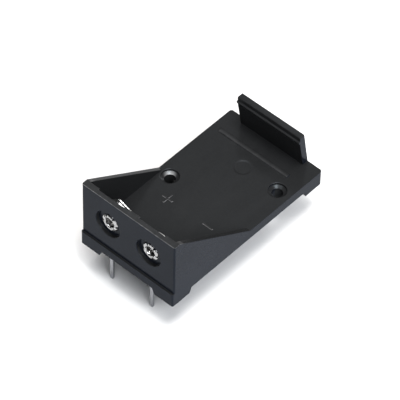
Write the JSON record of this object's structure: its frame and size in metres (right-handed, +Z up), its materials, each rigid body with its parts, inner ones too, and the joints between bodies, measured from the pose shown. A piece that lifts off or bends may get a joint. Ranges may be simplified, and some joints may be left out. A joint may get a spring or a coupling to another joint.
{
  "type": "nine-volt battery holder",
  "caption": "Open moulded tray for a flat-lying nine-volt battery, with riveted snap contacts in its front wall, a spring clip at the rear, corner feet and flat board pins.",
  "frame": {"origin": "midway between the two board pins, in the plane of the feet's undersides, which is the circuit board's face", "axes": "+X along the front wall towards the stud snap, +Y from the front wall towards the spring clip, +Z up from the board"},
  "size_m": [0.029, 0.0524, 0.0283],
  "materials": {
    "moulding": "satin black moulded thermoplastic",
    "plated_strip": "tin plated strip",
    "nickel": "bright nickel plate"
  },
  "bodies": {
    "root": {"holder_body": "moulding", "positive_terminal": "plated_strip", "negative_terminal": "plated_strip", "socket_snap": "nickel", "stud_snap": "nickel", "socket_rivet": "nickel", "stud_rivet": "nickel"}
  },
  "joints": []
}
